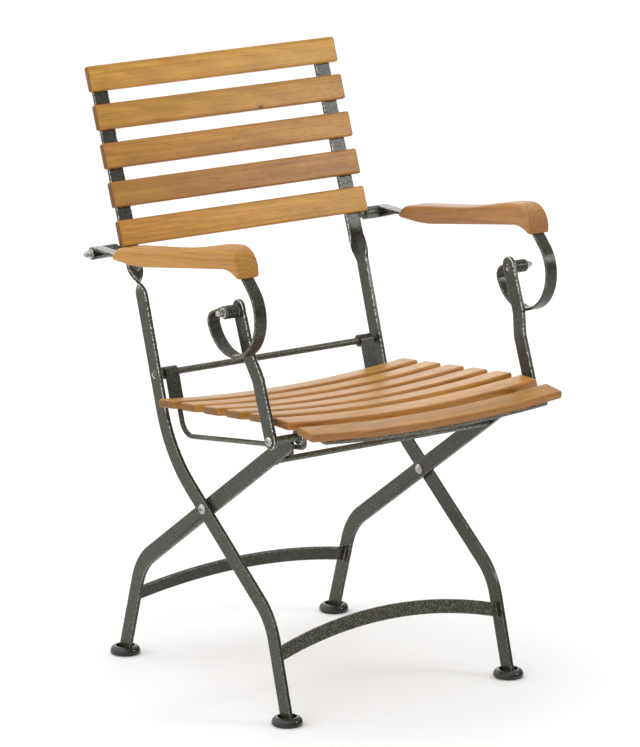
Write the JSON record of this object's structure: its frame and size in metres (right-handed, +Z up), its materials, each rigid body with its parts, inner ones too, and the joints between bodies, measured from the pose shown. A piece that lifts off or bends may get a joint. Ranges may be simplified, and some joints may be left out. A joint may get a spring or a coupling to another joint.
{
  "type": "folding armchair",
  "caption": "Folding garden armchair: wooden slat seat, back and armrests on crossing flat-steel legs, with scrolled arm fronts and a fold that moves legs, seat and arms together.",
  "frame": {"origin": "on the floor, under the middle of the open chair's bounding box", "axes": "+Z up, -Y the way the sitter faces, +X to the sitter's left"},
  "size_m": [0.5558, 0.5731, 0.8794],
  "materials": {
    "wood": "oiled satin hardwood",
    "frame_steel": "dark grey hammered paint",
    "foot_plastic": "black moulded",
    "zinc_steel": "zinc plated"
  },
  "bodies": {
    "back_frame": {"back_post_left": "frame_steel", "back_post_right": "frame_steel", "back_slat_1": "wood", "back_slat_2": "wood", "back_slat_3": "wood", "back_slat_4": "wood", "back_slat_5": "wood", "back_slat_screws": "zinc_steel", "front_stretcher": "frame_steel", "seat_hinge_rod": "frame_steel", "front_foot_left": "foot_plastic", "front_foot_right": "foot_plastic", "arm_boss_left": "frame_steel", "arm_boss_right": "frame_steel", "arm_pivot_bolts": "zinc_steel", "leg_pivot_bolts": "zinc_steel", "leg_pivot_washers": "zinc_steel"},
    "rear_legs": {"rear_leg_left": "frame_steel", "rear_leg_right": "frame_steel", "rear_stretcher": "frame_steel", "leg_cross_bar": "frame_steel", "rear_foot_left": "foot_plastic", "rear_foot_right": "foot_plastic", "slider_pin_left": "frame_steel", "slider_pin_right": "frame_steel"},
    "seat": {"seat_rail_left": "frame_steel", "seat_rail_right": "frame_steel", "seat_slat_1": "wood", "seat_slat_2": "wood", "seat_slat_3": "wood", "seat_slat_4": "wood", "seat_slat_5": "wood", "seat_slat_6": "wood", "seat_slat_7": "wood", "seat_screws": "zinc_steel", "front_strip": "frame_steel", "guide_rod_left": "frame_steel", "guide_rod_right": "frame_steel", "post_bracket_left": "frame_steel", "post_bracket_right": "frame_steel", "post_bolts": "zinc_steel"},
    "arm_left": {"armrest_left": "wood", "arm_strip_left": "frame_steel", "arm_screws_left": "zinc_steel"},
    "arm_support_left": {"arm_post_left": "frame_steel", "scroll_pin_left": "frame_steel", "scroll_bolt_left": "zinc_steel"},
    "arm_right": {"armrest_right": "wood", "arm_strip_right": "frame_steel", "arm_screws_right": "zinc_steel"},
    "arm_support_right": {"arm_post_right": "frame_steel", "scroll_pin_right": "frame_steel", "scroll_bolt_right": "zinc_steel"}
  },
  "joints": [
    {"name": "leg_fold", "type": "hinge", "parent": "back_frame", "child": "rear_legs", "pos_m": [0, 0.012, 0.271], "axis": [-1, 0, 0], "range_deg": [0, 62]},
    {"name": "seat_fold", "type": "hinge", "parent": "back_frame", "child": "seat", "pos_m": [0, 0.133, 0.446], "axis": [-1, 0, 0], "range_deg": [0, 90]},
    {"name": "arm_left_fold", "type": "hinge", "parent": "back_frame", "child": "arm_left", "pos_m": [0.255, 0.19856, 0.62168], "axis": [-1, 0, 0], "range_deg": [0, 90]},
    {"name": "arm_support_left_swing", "type": "hinge", "parent": "seat", "child": "arm_support_left", "pos_m": [0.231, -0.20299, 0.42103], "axis": [-1, 0, 0], "range_deg": [-90, 0]},
    {"name": "arm_right_fold", "type": "hinge", "parent": "back_frame", "child": "arm_right", "pos_m": [-0.255, 0.19856, 0.62168], "axis": [-1, 0, 0], "range_deg": [0, 90]},
    {"name": "arm_support_right_swing", "type": "hinge", "parent": "seat", "child": "arm_support_right", "pos_m": [-0.231, -0.20299, 0.42103], "axis": [-1, 0, 0], "range_deg": [-90, 0]}
  ],
  "couplings": [
    {"joint": "seat_fold", "follows": "leg_fold", "ratio": 1.45},
    {"joint": "arm_left_fold", "follows": "leg_fold", "ratio": 1.45},
    {"joint": "arm_support_left_swing", "follows": "leg_fold", "ratio": -1.45},
    {"joint": "arm_right_fold", "follows": "leg_fold", "ratio": 1.45},
    {"joint": "arm_support_right_swing", "follows": "leg_fold", "ratio": -1.45}
  ]
}
